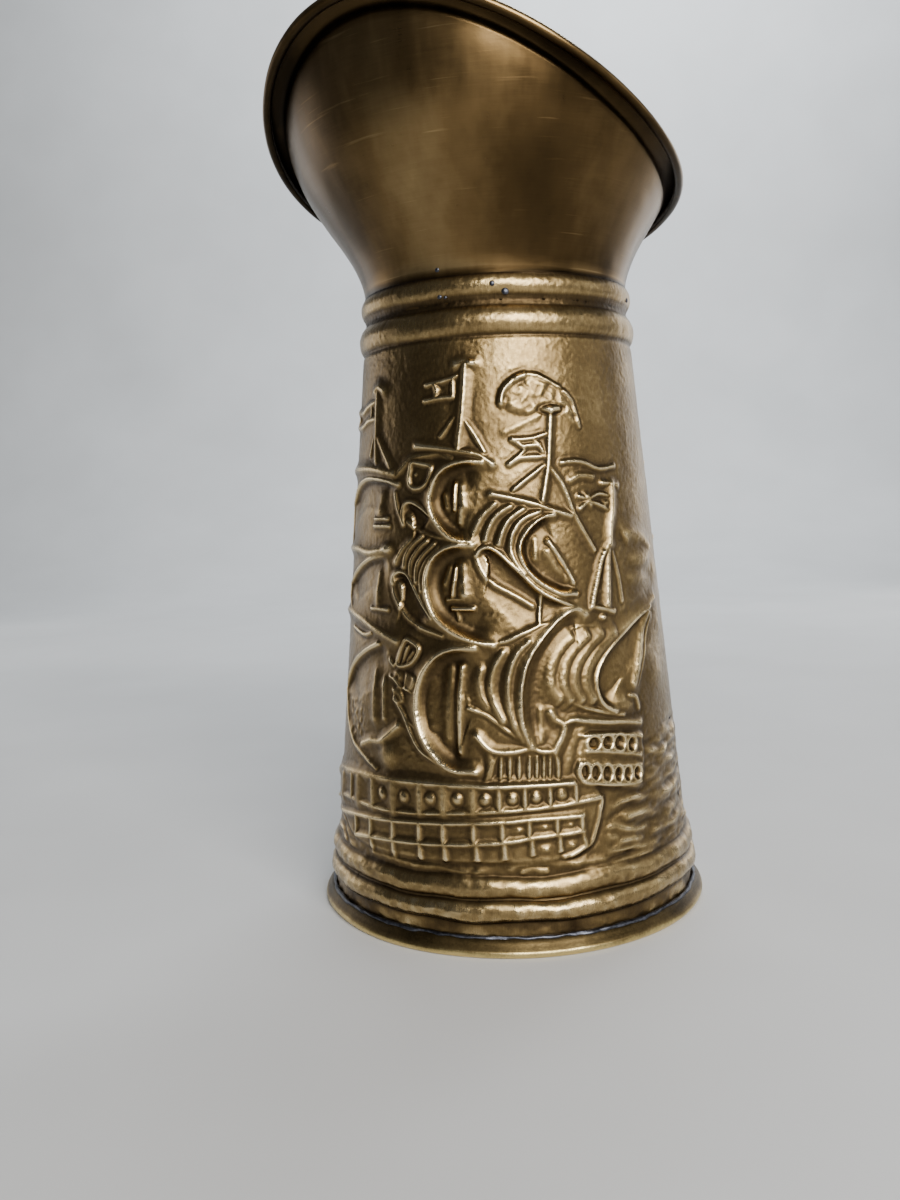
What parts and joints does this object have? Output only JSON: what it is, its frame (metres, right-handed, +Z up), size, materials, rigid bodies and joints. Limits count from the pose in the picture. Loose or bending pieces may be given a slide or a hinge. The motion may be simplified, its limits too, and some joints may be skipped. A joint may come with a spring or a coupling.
{
  "type": "umbrella stand",
  "caption": "Tapered brass umbrella stand with an embossed sailing ship, beaded neck and foot, and a flared jug mouth cut on a swooping slant.",
  "frame": {"origin": "on the body's axis, at the flat underside of the base pan that the stand rests on", "axes": "+Z up along the body's axis; -Y towards the high spout side of the mouth; +Y towards the low back; +X to the right seen from the spout side"},
  "size_m": [0.2016, 0.2175, 0.4187],
  "materials": {
    "embossed_brass": "aged, embossed, dark in the recesses and worn bright on the ridges",
    "plain_brass": "aged satin, finely scratched",
    "solder": null,
    "steel_wire": "plain drawn steel wire"
  },
  "bodies": {
    "root": {"front_panel": "embossed_brass", "back_panel": "embossed_brass", "side_seam_solder": "solder", "mouth_collar": "plain_brass", "rim_wire": "steel_wire", "neck_solder_ring": "solder", "base_pan": "plain_brass", "base_solder_ring": "solder"}
  },
  "joints": []
}
